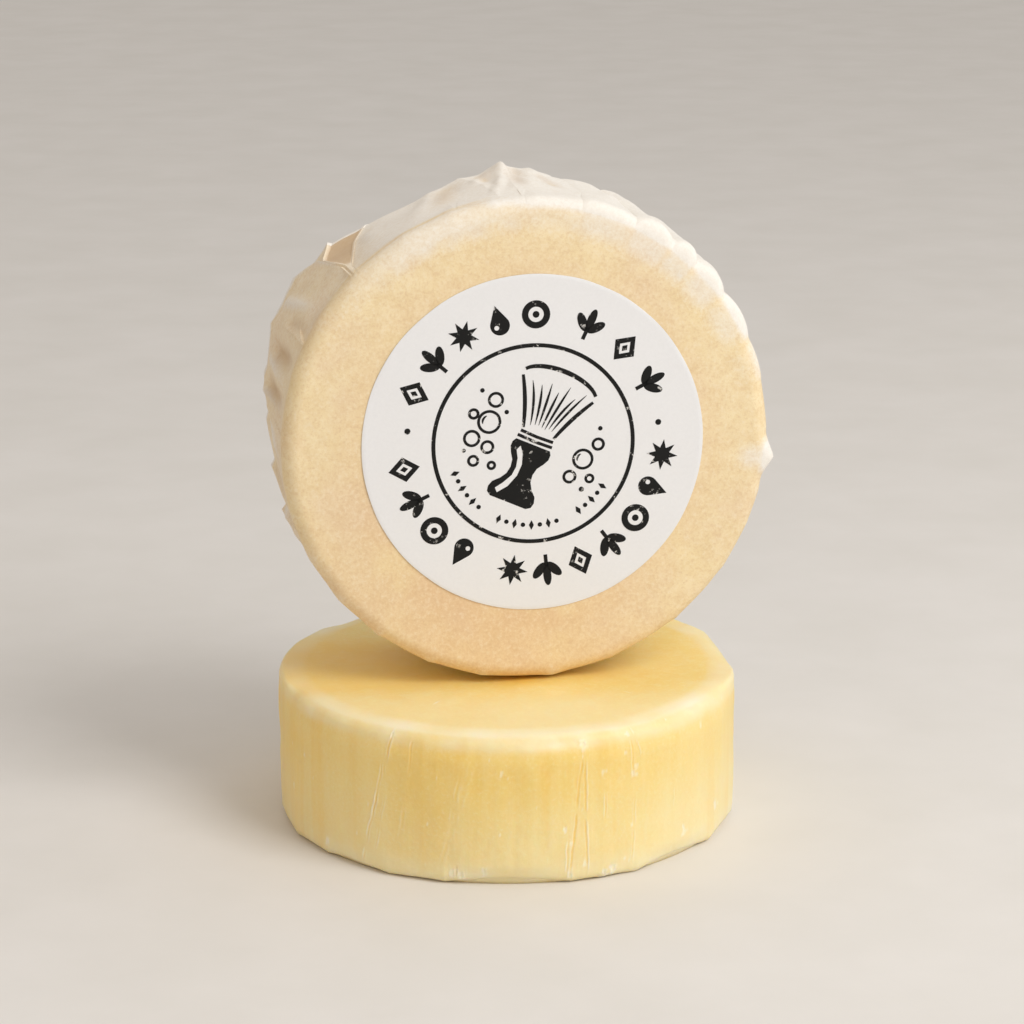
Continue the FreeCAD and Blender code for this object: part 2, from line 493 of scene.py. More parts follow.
def wall_marks(azimuth, height, radius):
    """Relief, paleness and depth of colour that the scratches and nicks leave on a puck's wall."""
    relief = np.zeros_like(azimuth)
    pale = np.zeros_like(azimuth)
    deep = np.zeros_like(azimuth)
    mm_per_degree = radius * math.pi / 180
    over_wall = np.stack([height, azimuth * 0.6], axis=-1)
    wander = 0.07 * ripple(over_wall, 2.6, 21)
    broken = smooth(0.85 + 0.7 * ripple(over_wall, 3.2, 22))
    ragged = 1 + 0.35 * ripple(over_wall, 0.9, 23)
    for az_top, z_top, az_low, z_low, half, depth, burr_left, burr_right in SCRATCHES:
        along = np.clip((z_top - height) / (z_top - z_low), 0, 1)
        across = turn_between(azimuth, az_top + (az_low - az_top) * along) * mm_per_degree + wander
        half = MARK_WIDTH * half
        outside = np.maximum(height - z_top, z_low - height)
        fade = broken * smooth(1 - outside / 0.8) * smooth(0.25 + np.minimum(along, 1 - along) * 6)
        groove = hump(across, 0, half)
        left = hump(across, -1.7 * half, 0.8 * half)
        right = hump(across, 1.7 * half, 0.8 * half)
        burrs = burr_left * left + burr_right * right
        relief += fade * (burrs - 0.35 * depth * groove)
        pale += fade * 7.0 * burrs
        deep += fade * 1.5 * depth * groove
    for az, z, half, depth in NICKS:
        half = MARK_WIDTH * half
        distance = np.hypot(turn_between(azimuth, az) * mm_per_degree * 1.3, height - z) * ragged
        relief += -depth * hump(distance, 0, half) + 0.4 * depth * hump(distance, 1.5 * half, 0.5 * half)
        pale += 0.9 * hump(distance, 0.8 * half, 0.9 * half)
    return relief, pale, deep


# Where the back edge of the wrapped soap is cut away, at the top: azimuth, half width in degrees and how far.
BACK_TRIM = (113.0, 9.0, 0.8)


def back_trim(azimuth, depth):
    """How far the wrapped soap and the paper tight on it lie inside their circle at the back edge."""
    centre, width, height = BACK_TRIM
    return height * hump(turn_between(azimuth, centre), 0, width) * smooth((depth - 12.0) / 10.0)


def painted_glow_at_contact(points):
    """Painted glow and shade: how deep the bare puck's colour is made at the contact line, beside it on the
    lit side, and in the wrapped puck's shadow on the left.
    """
    across = points[..., :2] @ RIGHT[:2] - CREASE_CENTRE[:2] @ RIGHT[:2]
    along = points[..., :2] @ BACK[:2] - CREASE_CENTRE[:2] @ BACK[:2]
    inside = smooth((along + CREASE_DEPTH + 3.0) / 5.0) * smooth((6.0 - along) / 9.0)
    # Painted warm bounce on the lit side, and painted colour in the shadow on the left.
    lit = 0.35 * hump(across, 10.0, 8.0)
    shaded = 0.35 * smooth((-5.0 - across) / 15.0)
    return inside * (0.8 * hump(across, -1.0, 4.0) + lit + shaded)


def soap_relief(azimuth, row_radius, height, radius, marked, seed):
    """Relief along the normal, and the pale and deep attributes, for every point of a puck."""
    turn = np.radians(azimuth)
    points = np.stack([row_radius * np.cos(turn), row_radius * np.sin(turn), height], axis=-1)
    on_wall = smooth((row_radius - radius + 1.6) / 0.8)

    # Casting waves, upright drag marks on the wall, and fine texture.
    relief = 0.09 * ripple(points, 17.0, seed) + 0.035 * ripple(points, 5.0, seed + 1)
    upright = points * np.array([1.0, 1.0, 0.06])
    relief += on_wall * (0.022 * ripple(upright, 2.2, seed + 2, 40) + 0.03 * ripple(upright, 6.0, seed + 3))
    relief += 0.012 * ripple(points, 1.3, seed + 4, 40)

    # The bottom edge trimmed in straight cuts, and the top edge worn down where it is not crisp.
    low = smooth(1 - height / TRIM_HEIGHT)
    relief -= low * on_wall * radius * 0.75 * polygon_share(azimuth, TRIM_CORNERS)
    worn = 0.45 * smooth((row_radius - radius + 4.6) / 4.2) * smooth((height - PUCK_THICKNESS + 4.5) / 3.0)
    if marked:
        worn = worn * (1 - crispness(azimuth))
    relief -= worn

    # Pale in a painted highlight along the worn top edge, low on the wall, and towards the front and the
    # right.
    band = smooth((row_radius - radius + 4.4) / 1.6) * smooth((height - PUCK_THICKNESS + 3.2) / 1.4)
    pale = 0.50 * band * (0.8 + 0.3 * ripple(points, 7.0, seed + 5))
    pale = pale + 0.40 * smooth((5.0 - height) / 4.5) * on_wall * (0.85 + 0.3 * ripple(points, 6.0, seed + 6))
    pale = pale + on_wall * 0.24 * smooth((17.0 - height) / 14.0)
    pale = pale + (1 - on_wall) * 0.27 * smooth((-10.0 - points[..., 1]) / 12.0)
    pale = pale + 0.12 * on_wall * smooth((points[..., 0] - 0.45 * radius) / (0.4 * radius))

    # Deep in upright streaks and in a band high on the wall.
    deep = on_wall * (0.16 * smooth(ripple(upright, 5.0, seed + 7) - 0.1) + 0.14 * hump(height, 17.0, 5.0))
    if marked:
        mark_relief, mark_pale, mark_deep = wall_marks(azimuth, height, radius)
        relief += on_wall * mark_relief
        pale = pale + on_wall * mark_pale
        deep = deep + on_wall * mark_deep

        # A dent in the top edge at the front, the painted glow and shade round where the wrapped puck stands,
        # and pale specks.
        dent = hump(turn_between(azimuth, 282.0), 0, 8.0) * hump(height, PUCK_THICKNESS - 1.2, 1.0) * on_wall
        relief -= 0.42 * dent
        pale = pale + 0.45 * dent
        deep = deep + (1 - on_wall) * painted_glow_at_contact(points)
        specks = ripple(points, 1.0, seed + 8, 60)
        pale = pale + 0.7 * smooth((specks - 2.0) / 0.5)
        relief += 0.05 * smooth((specks - 2.0) / 0.5)
    else:
        relief = np.minimum(relief - 0.06, 0.0) - on_wall * back_trim(azimuth, SOAP_BACK - height)
    return relief, np.clip(pale, 0, 1), np.clip(deep, 0, 1)


def soap_puck(radius, columns, wall_rows, top_rows, marked, seed):
    """Points, faces and attributes of one cast puck about its own axis, its underside at height 0.

    Columns are the azimuths of its points. A marked puck has the bare one's cuts, scratches and nicks.
    """
    row_radius, row_height, out, up = soap_profile(radius, wall_rows, top_rows)
    azimuth, row_radius = np.meshgrid(columns, row_radius)
    row_height = row_height[:, None] + np.zeros_like(azimuth)
    relief, pale, deep = soap_relief(azimuth, row_radius, row_height, radius, marked, seed)
    turn = np.radians(azimuth)
    r = row_radius + relief * out[:, None]
    z = row_height + relief * up[:, None]
    if marked:
        # Square up the crisp parts of the top edge, then cut the flats in the side.
        power = 1 - 0.8 * crispness(azimuth)
        outward = np.clip((row_radius - radius) / TOP_EDGE + 1, 0, 1)
        upward = np.clip((row_height - PUCK_THICKNESS) / TOP_EDGE + 1, 0, 1)
        on_edge = (outward > 0) & (upward > 0)
        r = np.where(on_edge, r + TOP_EDGE * (outward ** power - outward), r)
        z = np.where(on_edge, z + TOP_EDGE * (upward ** power - upward), z)
        cuts = sum(facet_share(azimuth, first, second) for first, second in WALL_CUTS)
        r = np.where(cuts > 0, np.minimum(r, radius * (1 - cuts) + 0.4 * relief), r)
    under = row_height <= 0.0
    z = np.where(under, 0.0, np.maximum(z, 0.0))
    grid = np.stack([r * np.cos(turn), r * np.sin(turn), z], axis=-1)
    count = len(columns)
    points = np.concatenate([grid.reshape(-1, 3), [[0, 0, 0], [0, 0, grid[-1, :, 2].mean()]]])
    faces = grid_faces(len(grid), count, True)
    bottom_centre = len(points) - 2
    top_centre = len(points) - 1
    first_top = (len(grid) - 1) * count
    for i in range(count):
        j = (i + 1) % count
        faces.append([j, i, bottom_centre])
        faces.append([first_top + i, first_top + j, top_centre])
    attributes = {"pale": np.append(pale.ravel(), [0, 0]), "deep": np.append(deep.ravel(), [0, 0])}
    return points, faces, attributes


front_columns = np.linspace(200, 340, BARE_COLUMNS_FRONT, endpoint=False)
back_columns = np.linspace(-20, 200, BARE_COLUMNS_BACK, endpoint=False)
columns = np.concatenate([back_columns, front_columns])
points, faces, attributes = soap_puck(BARE_RADIUS, columns, 44, 28, True, 11)
bare_puck = make_piece("bare_puck_soap", points, faces, soap, attributes)
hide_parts("bare_soap")
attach(bare_puck, "bare_puck")

columns = np.linspace(0, 360, 360, endpoint=False)
points, faces, attributes = soap_puck(WRAPPED_SOAP_RADIUS - 0.1, columns, 26, 16, False, 47)
points = place(points[:, 0], SOAP_BACK - points[:, 2], points[:, 1])
wrapped_puck = make_piece("wrapped_puck_soap", points, faces, soap, attributes)
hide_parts("wrapped_soap")
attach(wrapped_puck, "wrapped_puck")

# ---------------------------------------------------------------- wrapper: one sheet gathered over the puck

SHEET_THICKNESS = 0.08
FACE_FLAT_RADIUS = WRAPPED_SOAP_RADIUS - TOP_EDGE
EDGE_DEPTH = SOAP_FRONT + TOP_EDGE
CONTACT_RADIUS = WRAPPED_SOAP_RADIUS + 0.03
BEND_DEPTH = CREASE_DEPTH - 0.65
SPLIT_DEPTH = CREASE_DEPTH - 1.3
FOLD_COUNT = 2 * PLEAT_COUNT
FOLD_PITCH = 360.0 / FOLD_COUNT
PANEL_COLUMNS = 20
TUCK_COLUMNS = 8
FOLD_COLUMNS = PANEL_COLUMNS + TUCK_COLUMNS

# Shares of the way across a panel and across a tuck, closer together at both ends.
PANEL_STEPS = 0.5 - 0.5 * np.cos(np.linspace(0, math.pi, PANEL_COLUMNS + 1))
TUCK_STEPS = smooth(np.linspace(0, 1, TUCK_COLUMNS + 1))

# The height below which the sheet is pressed flat, just above the bare puck.
RESTING_HEIGHT = bare_high[2] + 0.05

# Folds round the wall, in steps of FOLD_PITCH from azimuth 0: how far the fold leads at the face in degrees,
# the radius just before it and at its crest, how far its panel puffs out at the face and at the back, how
# fast it grows behind the face, and how far in degrees the sheet doubles under the crest. Below 0, the sheet
# rises gently to the crest instead.
FOLDS = (
    (2.0, 36.5, 36.9, 0.05, 0.10, 0.80, 1.3), (2.0, 36.6, 37.1, 0.30, 0.20, 0.60, -1.0),
    (1.5, 36.8, 37.0, 0.75, 0.80, 0.50, -1.0), (2.8, 36.8, 36.9, 0.90, 1.10, 0.45, -1.0),
    (1.5, 36.7, 36.8, 1.05, 1.30, 0.45, -1.0), (-2.2, 36.2, 36.2, 1.05, 1.05, 0.40, -1.0),
    (-3.0, 36.9, 37.0, 0.45, 0.30, 0.60, -1.0), (-1.0, 36.8, 36.9, 0.00, 0.25, 0.90, -2.5),
    (1.0, 37.5, 37.7, 0.00, 0.00, 0.90, -2.5), (-5.0, 36.8, 36.9, 0.00, 0.00, 0.80, -2.0),
    (-6.0, 35.6, 35.6, 0.00, 0.00, 1.00, -2.0), (0.0, 36.4, 36.3, 0.00, 0.00, 0.60, 1.0),
    (0.0, 37.6, 38.2, 0.00, 0.00, 0.90, -0.5), (0.0, 37.6, 38.9, 0.00, 0.00, 0.90, -0.4),
    (-3.0, 38.6, 38.9, 0.00, 0.00, 0.60, -2.5), (8.0, 37.5, 37.8, 0.00, 0.00, 0.80, -2.0),
    (2.0, 36.5, 36.9, 0.00, 0.05, 0.70, -2.5), (3.0, 36.2, 36.9, 0.05, 0.15, 0.50, -1.5),
    (-3.0, 36.1, 37.6, 0.10, 0.20, 0.50, -1.5), (0.0, 36.8, 37.2, 0.10, 0.20, 0.60, -3.0),
    (2.0, 36.5, 37.0, 0.10, 0.15, 0.70, -2.0), (-2.0, 36.5, 37.0, 0.10, 0.10, 0.80, -1.5),
    (1.0, 36.6, 37.1, 0.05, 0.05, 0.90, 1.3), (-1.0, 36.6, 37.0, 0.05, 0.05, 0.90, 1.3),
    (2.0, 36.6, 37.0, 0.05, 0.05, 0.90, 1.3), (0.0, 36.6, 37.0, 0.05, 0.05, 0.90, 1.3),
    (-2.0, 36.6, 37.1, 0.05, 0.10, 0.90, 1.3), (2.0, 36.6, 37.1, 0.05, 0.10, 0.90, 1.3),
    (1.0, 36.6, 37.1, 0.05, 0.15, 0.80, 1.3), (-2.0, 36.6, 37.1, 0.05, 0.15, 0.80, 1.3),
    (2.0, 36.6, 37.1, 0.05, 0.15, 0.80, 1.3), (1.0, 36.6, 37.2, 0.05, 0.15, 0.80, 1.3),
)
fold_lead, fold_base, fold_crest, fold_face_puff, fold_back_puff, fold_power, fold_tuck = np.array(FOLDS).T
fold_azimuth = np.arange(FOLD_COUNT) * FOLD_PITCH

# The three folds at the upper left swerve: share of the way back, and degrees from the fold's own azimuth.
# The sheet between the first and the second is pressed in, and the third laps over it.
PRESSED_FOLD = 11
LAP_FOLD = 13
SWERVES = {
    PRESSED_FOLD: ((0.0, 9.6), (0.28, 9.4), (0.79, 6.0), (1.0, 2.2)),
    PRESSED_FOLD + 1: ((0.0, -0.9), (0.28, -0.4), (0.77, 3.4), (1.0, 0.0)),
    LAP_FOLD: ((0.0, -11.2), (0.28, -10.7), (0.77, -7.2), (1.0, 0.0)),
}

# Where the paper stands off the puck at the rim of the face: azimuth, half width in degrees and height.
RIM_SWELLS = ((46, 20, 0.40), (78, 24, 0.70), (268, 22, 0.15))

# The one sharp corner of the rim, at the lower right: azimuth, half width in degrees and height.
RIM_POINT = (354.8, 5.5, 1.25)

# Corners of the flat facets that the rim of the face is made of.
RIM_CORNERS = (2, 14, 24, 36, 46, 54, 64, 76, 88, 98, 108, 120, 134, 147, 161, 177, 188, 196, 207, 219, 232,
               246, 259, 276, 291, 309, 326, 338, 346, 355)


def rim_radius(azimuth):
    """Radius of the wrapper where the face's rounded rim ends and the wall begins."""
    radius = np.full_like(azimuth, CONTACT_RADIUS + 0.20)
    for centre, width, height in RIM_SWELLS:
        radius += height * hump(turn_between(azimuth, centre), 0, width)
    radius = np.maximum(radius * (1 - 0.85 * polygon_share(azimuth, RIM_CORNERS)), CONTACT_RADIUS)
    centre, width, height = RIM_POINT
    return radius + height * np.maximum(0, 1 - np.abs(turn_between(azimuth, centre)) / width) ** 1.3


def wall_share(depth):
    """0 where the wall begins behind the face and 1 at the back rim."""
    return np.clip((depth - EDGE_DEPTH) / (BEND_DEPTH - EDGE_DEPTH), 0, 1)


def fold_lines(share):
    """Azimuth of every fold at one share of the way back."""
    azimuth = fold_azimuth + fold_lead * (1 - share ** 3)
    for index, path in SWERVES.items():
        azimuth[index] = fold_azimuth[index] + np.interp(share, *zip(*path))
    return azimuth


def wall_section(depth):
    """Azimuth and radius of every column of the folded wall at one depth."""
    share = wall_share(depth)
    azimuth = fold_lines(share)
    rim = rim_radius(azimuth % 360)
    growth = share ** fold_power
    crest = rim + (fold_crest - rim) * growth
    base = rim + (fold_base - rim) * growth
    tuck = -0.5 + (fold_tuck + 0.5) * smooth(share * 2.5)
    next_azimuth = np.append(azimuth[1:], azimuth[0] + 360)
    next_tuck = np.roll(tuck, -1)
    next_base = np.roll(base, -1)
    next_crest = np.roll(crest, -1)
    q = PANEL_STEPS[:-1]
    start = np.radians(azimuth)[:, None]
    end = np.radians(next_azimuth + next_tuck)[:, None]
    x = crest[:, None] * np.cos(start) * (1 - q) + next_base[:, None] * np.cos(end) * q
    y = crest[:, None] * np.sin(start) * (1 - q) + next_base[:, None] * np.sin(end) * q
    chord = np.hypot(x, y)
    panel_azimuth = azimuth[:, None] + turn_between(np.degrees(np.arctan2(y, x)), azimuth[:, None])
    settled = smooth(share * 3.0)
    panel_radius = rim_radius(panel_azimuth % 360) * (1 - settled) + chord * settled
    puff = fold_face_puff * (1 - share) + fold_back_puff * share
    panel_radius = panel_radius + puff[:, None] * (4 * q * (1 - q)) ** (1.0 - 0.25 * share)
    m = TUCK_STEPS[:-1]
    tuck_azimuth = (next_azimuth + next_tuck)[:, None] - next_tuck[:, None] * m
    tuck_radius = next_base[:, None] + (next_crest - next_base)[:, None] * m
    section_azimuth = np.concatenate([panel_azimuth, tuck_azimuth], axis=1).ravel()
    section_radius = np.concatenate([panel_radius, tuck_radius], axis=1).ravel()
    contact = CONTACT_RADIUS - back_trim(section_azimuth, depth)
    return section_azimuth, soft_floor(section_radius, contact, 0.004)


# Small gathers on the wall: azimuth and depth at the back end, the same at the front end, half width and
# height. The heights below 0 are valleys that press the paper towards the soap.
# Valleys among the gathers are also given painted shade.
GATHERS = (
    (92.2, 22.8, 93, 17, 1.15, 0.9), (91, 21, 97.5, 2, 0.6, 0.4), (91.5, 21, 84, 8, 0.6, 0.45),
    (88, 21.5, 82, 12, 0.6, 0.4), (84.5, 22, 79.5, 13, 0.7, 0.4), (95.5, 21, 101, 14, 0.6, 0.25),
    (88.5, 21, 90, 7, 0.9, -0.35), (96, 21, 95.5, 15, 0.8, -0.3), (83, 18, 79, 9, 0.9, -0.3),
    (109, 22.5, 117, 3, 1.1, 0.3), (105, 21, 109, 6, 1.4, -0.25), (151, 20, 146, 5, 0.7, 0.35),
    (138.9, 18, 135, 8.5, 0.35, 0.14), (145.6, 22.4, 138.9, 18, 0.35, 0.14), (127, 17, 124.5, 9, 0.8, 0.3),
    (161.5, 17, 160, 3.5, 1.1, -1.1), (170, 18, 170.6, 2.8, 0.95, -0.8), (164.5, 20, 165.5, 6, 0.5, 0.25),
    (172, 21, 171.2, 2.5, 0.35, 0.35), (178.5, 16, 184, 4, 0.7, 0.25), (153, 12, 152, 3, 0.8, -0.4),
    (34, 12, 40, 3.5, 0.7, 0.2), (66, 16, 72, 5, 0.9, 0.22), (207, 18, 203, 6, 0.7, 0.25),
    (10, 18, 18, 5, 0.7, 0.25), (342, 18, 350, 4, 0.8, 0.4), (300, 17, 306, 5, 0.7, 0.2),
    (228, 18, 236, 5, 0.7, 0.2), (322, 17, 315, 5, 0.7, 0.2), (54, 18, 50, 6, 0.6, 0.25),
    (190.5, 20, 192, 6, 0.8, -0.4), (198.5, 19, 200, 6, 0.6, 0.2),
)

# Depth at which the painted shade in the pressed-in fold at the upper left begins.
PRESSED_DEPTH = 7.0


def gathered(azimuth, radius, depth):
    """Radius with the gathers and slight crumpling, and how far each point takes painted shade in a valley or
    recess, or is on a ridge.
    """
    mm_per_degree = CONTACT_RADIUS * math.pi / 180
    valley_shade = np.zeros_like(radius)
    ridge = np.zeros_like(radius)
    for az_back, depth_back, az_front, depth_front, half, height in GATHERS:
        run = np.array([turn_between(az_front, az_back) * mm_per_degree, depth_front - depth_back])
        length = np.linalg.norm(run)
        run /= length
        x = turn_between(azimuth, az_back) * mm_per_degree
        y = depth - depth_back
        along = x * run[0] + y * run[1]
        across = np.abs(x * run[1] - y * run[0])
        ends = smooth(1 + along / 1.5) * smooth((length - along) / (0.6 * length))
        slope = np.maximum(0, 1 - across / (2.2 * half))
        shape = ends * (0.6 * slope + 0.4 * smooth(slope))
        radius = radius + height * shape
        # Valleys below 0 get painted shade.
        if height < 0:
            valley_shade = np.maximum(valley_shade, shape * min(0.8, -1.1 * height))
        else:
            ridge = np.maximum(ridge, shape)
    # Painted shade in the recess of the pressed-in fold at the upper left, partly the tan of paper pressed on
    # the soap.
    start, end = fold_lines(wall_share(depth))[PRESSED_FOLD:PRESSED_FOLD + 2]
    across = smooth(turn_between(azimuth, start) / 0.9) * smooth(turn_between(end, azimuth) / 0.6)
    recess_shade = 0.9 * across * smooth((depth - PRESSED_DEPTH) / 3.0)
    turn = np.radians(azimuth)
    around = np.stack([radius * np.cos(turn), radius * np.sin(turn), depth + 0 * radius], axis=-1)
    loose = smooth((radius - CONTACT_RADIUS) / 0.8)
    crumple = 0.10 * np.abs(ripple(around, 9.0, 71)) + 0.05 * np.abs(ripple(around, 3.6, 72))
    radius = np.maximum(radius + loose * (crumple - 0.08), CONTACT_RADIUS - back_trim(azimuth, depth))
    return radius, np.maximum(valley_shade, recess_shade), ridge


def settle(points):
    """Presses the sheet flat where the wrapped puck rests on the bare one."""
    points[..., 2] = soft_floor(points[..., 2], RESTING_HEIGHT, 0.003)
    return points


def rim_row(share, rim_start, lift):
    """Radius, depth and gap of one ring of the face's rounded rim, squarer where the paper stands off."""
    power = 2 / (2 + 1.4 * lift)
    radius = FACE_FLAT_RADIUS + (rim_start - FACE_FLAT_RADIUS) * math.sin(share * math.pi / 2) ** power
    depth = 0.04 + (EDGE_DEPTH - 0.04) * (1 - math.cos(share * math.pi / 2) ** power)
    from_arc = np.hypot(radius - FACE_FLAT_RADIUS, EDGE_DEPTH - depth) - TOP_EDGE
    return radius, depth, np.maximum(0, from_arc - SOAP_FRONT)


# Where the face's edge looks pale at the upper left: azimuth, half width in degrees and how pale.
PALE_EDGE = (112.0, 24.0, 1.1)

# The gaps that the paper's material is given where the paper is layered, and where the face's edge is pale.
LAYERED_GAP = 0.45
PALE_EDGE_GAP = 0.28

FACE_RADII = (0.5, 5, 10, 15, 20, 24, 26, 27.5, 29, 30.5, 31.7, 32.7, 33.4)


def wrapper_cup():
    """Points, faces and attributes of the face, its rounded rim and the folded wall, up to the back rim."""
    rim_azimuth, rim_start = wall_section(EDGE_DEPTH)
    lift = np.clip(rim_start - CONTACT_RADIUS - 0.2, 0, 1)
    centre, width, paleness = PALE_EDGE
    pale_rim = np.maximum(lift, paleness * hump(turn_between(rim_azimuth, centre), 0, width))
    rows = []
    gaps = []
    valley_shades = []
    turn = np.radians(rim_azimuth)
    for radius in FACE_RADII:
        flat = np.stack([radius * np.cos(turn), radius * np.sin(turn)], axis=-1)
        depth = 0.05 + 0.03 * ripple(flat, 11.0, 61) + 0.012 * ripple(flat, 3.0, 62)
        rows.append((rim_azimuth, np.full_like(rim_azimuth, radius), np.maximum(depth, 0.0)))
        streaks = 0.8 + 0.25 * ripple(flat, 4.0, 63)
        gaps.append(PALE_EDGE_GAP * np.maximum(lift, pale_rim * streaks) * smooth((radius - 30.6) / 3.2))
        valley_shades.append(np.zeros_like(rim_azimuth))
    for share in np.linspace(0, 1, 14):
        radius, depth, gap = rim_row(share, rim_start, lift)
        rows.append((rim_azimuth, radius, depth))
        gaps.append(np.maximum(gap, PALE_EDGE_GAP * pale_rim))
        valley_shades.append(np.zeros_like(gap))
    wall_depths = EDGE_DEPTH + (SPLIT_DEPTH - EDGE_DEPTH) * np.linspace(0, 1, 27)[1:] ** 1.15
    for depth in wall_depths:
        azimuth, radius = wall_section(depth)
        radius, valley_shade, ridge = gathered(azimuth, radius, depth)
        rows.append((azimuth, radius, np.full_like(radius, depth)))
        layered = LAYERED_GAP * smooth((depth - EDGE_DEPTH) / 3.0)
        # Painted shade: towards the left, away from the key light, and in the valleys, the wall's gap is held
        # down so it reads tan, less on the ridges.
        shaded = smooth((np.cos(np.radians(azimuth - 178)) - 0.55) / 0.25) * (1 - 0.9 * ridge)
        gap = np.maximum(radius - CONTACT_RADIUS - 0.1, layered) * (1 - valley_shade)
        gaps.append(np.minimum(gap, LAYERED_GAP - 0.28 * shaded))
        valley_shades.append(valley_shade)
    azimuth, radius, depth = (np.array(part) for part in zip(*rows))
    points = settle(place_round(radius, azimuth, depth))
    columns = len(rim_azimuth)
    faces = [face[::-1] for face in grid_faces(len(rows), columns, True)]
    points = np.concatenate([points.reshape(-1, 3), place(0.0, 0.04, 0.0)[None]])
    middle = len(points) - 1
    faces += [[i, (i + 1) % columns, middle] for i in range(columns)]
    tan_and_painted_bounce_share = tan_and_painted_bounce(radius, azimuth)
    attributes = {"gap": gaps, "tan_and_painted_bounce_share": tan_and_painted_bounce_share, "valley_shade": valley_shades}
    return points, faces, {key: np.append(np.array(values).ravel(), 0) for key, values in attributes.items()}


def tan_and_painted_bounce(radius, azimuth):
    """How far the face's colour leans to tan: beside the label, and towards the bottom as a painted
    reflection of the soap below and painted shade.
    """
    turn = np.radians(azimuth)
    beside_label = smooth((LABEL_RADIUS + 6.0 - radius) / 6.0)
    # Painted reflection and shade towards the bottom.
    low = smooth((-0.3 - np.sin(turn + 0.35)) / 0.9)
    return np.clip(0.35 * beside_label + 0.75 * low, 0, 1)


FLAP_LENGTH = CREASE_RADIUS - 12.0
FLAP_START = 1.2
FLAP_ROWS = 26
LAYER = 0.12
HALF_PITCH = math.tan(math.radians(PLEAT_PITCH / 2))


def flap_section(inward):
    """Sideways place and height of every column of a flap, at a distance inward from its crease."""
    half = (CREASE_RADIUS - inward) * HALF_PITCH
    wing = 0.5 + 0.363 * inward
    tuck = 0.45
    q = PANEL_STEPS
    m = TUCK_STEPS[:-1]
    first_x = -half + (half + tuck) * q[:-1]
    first_up = 0.22 - 0.20 * q[:-1]
    tuck_x = tuck * (1 - m)
    tuck_up = 0.02 + 0.16 * m
    edge = np.linspace(0.8, 1.0, TUCK_COLUMNS)
    second_x = np.concatenate([(half + 0.75 * wing) * q, half + wing * edge])[:FOLD_COLUMNS]
    second_up = np.where(second_x < half, 0.18 * (1 - second_x / half), -LAYER * (second_x - half) / half)
    lift = 0.10 + LAYER * wing / half
    return np.concatenate([first_x, tuck_x, second_x]), np.concatenate([first_up, tuck_up, second_up]) + lift


def flap_columns(index):
    """The wall columns that run into one flap: both panels and the tuck between them."""
    middle = round((90.0 + PLEAT_PITCH * index) / FOLD_PITCH)
    first = (middle - 1) * FOLD_COLUMNS
    return np.arange(first, first + 2 * FOLD_COLUMNS) % (FOLD_COUNT * FOLD_COLUMNS)


def wrapper_flap(index):
    """Points, faces and attributes of one pleat: the wall's end, the bend over the rim and the flap."""
    columns = flap_columns(index)
    centre = math.radians(90.0 + PLEAT_PITCH * index)
    inward_axis = np.array([-math.cos(centre), -math.sin(centre)])
    across_axis = np.array([-math.sin(centre), math.cos(centre)])
    rows = []
    gaps = []
    for depth in np.linspace(SPLIT_DEPTH, BEND_DEPTH, 4):
        azimuth, radius = wall_section(depth)
        radius = gathered(azimuth, radius, depth)[0][columns]
        turn = np.radians(azimuth[columns])
        depths = np.full_like(radius, depth)
        rows.append(np.stack([radius * np.cos(turn), depths, radius * np.sin(turn)], axis=-1))
        gaps.append(np.maximum(radius - CONTACT_RADIUS, LAYERED_GAP))
    wall_end = rows[-1]
    rng = np.random.default_rng(300 + index)
    bow = rng.uniform(0.1, 0.4)
    uneven = rng.uniform(-0.5, 0.5)

    def flap_row(inward):
        x, up = flap_section(inward)
        share = inward / FLAP_LENGTH
        reach = inward + share ** 4 * (uneven + 0.5 * np.sin(x * 0.9 + index))
        plane = (CREASE_RADIUS - reach)[:, None] * -inward_axis + x[:, None] * across_axis
        wave = 0.05 * ripple(plane, 5.0, 80) * smooth(share * 4)
        depth = CREASE_DEPTH + up + bow * 0.2 * math.sin(math.pi * share) + np.maximum(wave, -0.04)
        return np.stack([plane[:, 0], depth, plane[:, 1]], axis=-1)

    start = flap_row(FLAP_START)
    for t in np.radians(np.linspace(0, 90, 8)[1:-1]):
        row = wall_end + (start - wall_end) * (1 - math.cos(t))
        row[:, 1] = wall_end[:, 1] + (start - wall_end)[:, 1] * math.sin(t)
        rows.append(row)
        gaps.append(np.full(len(columns), 0.9))
    for inward in np.linspace(FLAP_START, FLAP_LENGTH, FLAP_ROWS):
        rows.append(flap_row(inward))
        gaps.append(np.full(len(columns), 0.55))
    grid = np.array(rows)
    points = settle(place(grid[..., 0], grid[..., 1], grid[..., 2])).reshape(-1, 3)
    faces = [face[::-1] for face in grid_faces(len(rows), len(columns), False)]
    gap = np.array(gaps).ravel()
    return points, faces, {"gap": gap, "tan_and_painted_bounce_share": np.zeros_like(gap), "valley_shade": np.zeros_like(gap)}


points, faces, attributes = wrapper_cup()
cup = make_piece("wrapper_face_and_wall", points, faces, paper, attributes)
thicken(cup, SHEET_THICKNESS)
cup.data.set_sharp_from_angle(angle=math.radians(50))
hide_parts("wrapper_sheet")
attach(cup, "wrapped_puck")

for index, joint_name in enumerate(PLEAT_NAMES):
    points, faces, attributes = wrapper_flap(index)
    flap = make_piece(f"wrapper_flap_{index + 1:02d}", points, faces, paper, attributes)
    thicken(flap, SHEET_THICKNESS)
    flap.data.set_sharp_from_angle(angle=math.radians(50))
    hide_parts(f"wrapper_pleat_{index + 1:02d}")
    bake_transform(flap)

# ---------------------------------------------------------------- label, back seal and their print

LABEL_FRONT = -0.12
INK_HEIGHT = 0.015
label_centre = (label_low + label_high) / 2 - CREASE_CENTRE
seal_centre = (seal_low + seal_high) / 2 - CREASE_CENTRE


